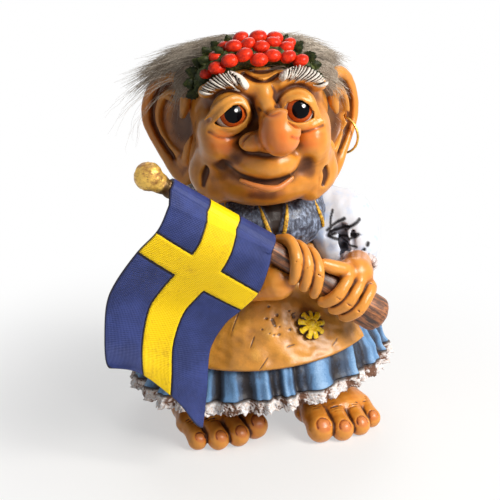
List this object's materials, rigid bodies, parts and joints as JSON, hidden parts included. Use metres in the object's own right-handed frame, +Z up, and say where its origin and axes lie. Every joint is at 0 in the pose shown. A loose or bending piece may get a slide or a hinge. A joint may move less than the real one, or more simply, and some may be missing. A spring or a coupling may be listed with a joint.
{
  "type": "troll figurine",
  "caption": "Standing troll figurine in folk dress with berry wreath, fur hair, hoop earring and bare feet, holding a staff with a hanging flag.",
  "frame": {"origin": "middle of the bounding box's bottom, on the plane of the soles", "axes": "+Z up, the figure looks along -Y, its own left hand is at +X"},
  "size_m": [0.1372, 0.1166, 0.1797],
  "materials": {
    "painted_skin": "ochre paint with a dark brown wash in the hollows, satin",
    "eye_glass": "dark glass eye, polished",
    "gold_wire": "gold-coloured wire, polished",
    "gold_paint": "worn gold paint",
    "grey_fur": "coarse grey-brown fur",
    "leaf_green": "dark green paint",
    "berry_red": "glossy red",
    "bodice_blue": "worn blue-grey paint",
    "edging_yellow": "yellow paint",
    "sleeve_white": "white paint with a pale blue wash",
    "staff_wood": "dark stained wood",
    "flag_blue": "glossy blue with a yellow cross",
    "skirt_blue": "blue paint with dark recesses",
    "apron_ochre": "ochre paint with a brown wash",
    "frill_white": "off-white, worn"
  },
  "bodies": {
    "figure": {"apron": "apron_ochre", "apron_flower": "edging_yellow", "armhole_edging_left": "edging_yellow", "armhole_edging_right": "edging_yellow", "berry_01": "berry_red", "berry_02": "berry_red", "berry_03": "berry_red", "berry_04": "berry_red", "berry_05": "berry_red", "berry_06": "berry_red", "berry_07": "berry_red", "berry_08": "berry_red", "berry_09": "berry_red", "berry_10": "berry_red", "berry_11": "berry_red", "berry_12": "berry_red", "berry_13": "berry_red", "berry_14": "berry_red", "berry_15": "berry_red", "berry_16": "berry_red", "berry_17": "berry_red", "berry_18": "berry_red", "bodice": "bodice_blue", "cuff_left": "sleeve_white", "cuff_right": "sleeve_white", "ear_left": "painted_skin", "ear_right": "painted_skin", "eye_left": "eye_glass", "eye_right": "eye_glass", "finial_ball": "gold_paint", "flag": "flag_blue", "foot_left": "painted_skin", "foot_right": "painted_skin", "front_edging_left": "edging_yellow", "front_edging_right": "edging_yellow", "fur_back": "grey_fur", "fur_cap": "grey_fur", "hand_left": "painted_skin", "hand_right": "painted_skin", "head": "painted_skin", "hem_frill": "frill_white", "leaf_wreath": "leaf_green", "skirt": "skirt_blue", "sleeve_left": "sleeve_white", "sleeve_right": "sleeve_white", "staff": "staff_wood"},
    "earring": {"earring": "gold_wire"}
  },
  "joints": [
    {"name": "earring_swing", "type": "hinge", "parent": "figure", "child": "earring", "pos_m": [0.04629, 0.00904, 0.13635], "axis": [0.6699, -0.7368, 0.0913], "range_deg": [-6, 90]}
  ]
}
